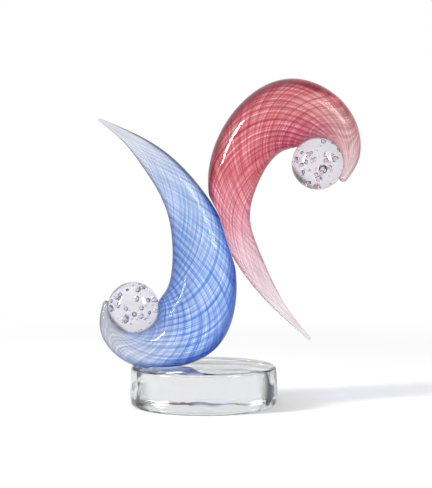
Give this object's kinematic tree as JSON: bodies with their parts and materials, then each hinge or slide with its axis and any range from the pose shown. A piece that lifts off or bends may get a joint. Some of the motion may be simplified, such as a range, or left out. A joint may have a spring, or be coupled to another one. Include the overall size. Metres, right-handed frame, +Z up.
{
  "type": "glass wave sculpture",
  "caption": "Table sculpture of two curling coloured glass waves, joined side to side on a clear glass disc, each crest holding a bubbled clear glass ball.",
  "frame": {"origin": "centre of the glass disc's underside", "axes": "+Z up, +X to the right as the sculpture is seen from the front, -Y towards the front"},
  "size_m": [0.2404, 0.136, 0.2997],
  "materials": {
    "clear_glass": "polished clear cast glass",
    "blue_glass": "polished glass with a net of blue threads inside, clear towards both ends",
    "red_glass": "polished glass with a net of crimson threads inside, clear towards both ends",
    "bubbled_glass": "polished clear glass with trapped bubbles",
    "clear_adhesive": "clear cured adhesive"
  },
  "bodies": {
    "root": {"base": "clear_glass", "base_bond": "clear_adhesive", "blue_wave": "blue_glass", "blue_ball": "bubbled_glass", "blue_ball_bond": "clear_adhesive", "wave_bond": "clear_adhesive", "red_wave": "red_glass", "red_ball": "bubbled_glass", "red_ball_bond": "clear_adhesive"}
  },
  "joints": []
}
